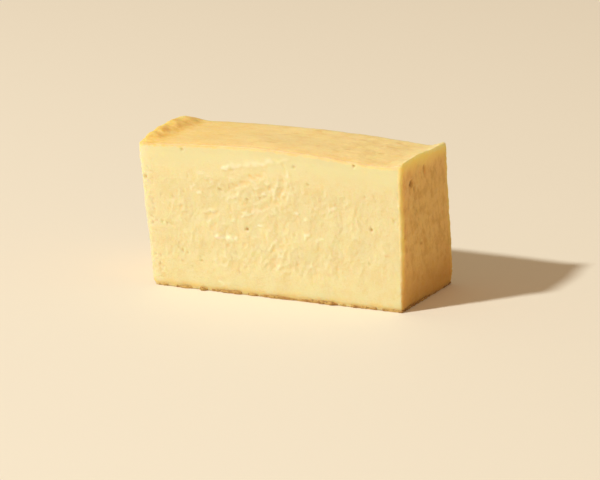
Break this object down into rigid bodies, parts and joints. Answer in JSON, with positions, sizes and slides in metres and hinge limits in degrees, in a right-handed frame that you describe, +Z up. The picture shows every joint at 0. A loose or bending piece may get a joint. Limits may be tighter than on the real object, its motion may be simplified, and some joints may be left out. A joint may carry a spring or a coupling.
{
  "type": "slice of basque cheesecake",
  "caption": "Rectangular slice of baked cheesecake, cut across a loaf: pale cut sides, browned domed top with a raised rim, browned ends and a thin dark base crust.",
  "frame": {"origin": "bottom centre of the bounding box, on the surface that the slice stands on", "axes": "+X along the slice's length, towards the shaded end on the right of the picture; -Y towards the cut side that faces the camera; +Z up"},
  "size_m": [0.083, 0.0356, 0.0433],
  "materials": {
    "baked_cream": "satin"
  },
  "bodies": {
    "root": {"cheesecake_slice": "baked_cream"}
  },
  "joints": []
}
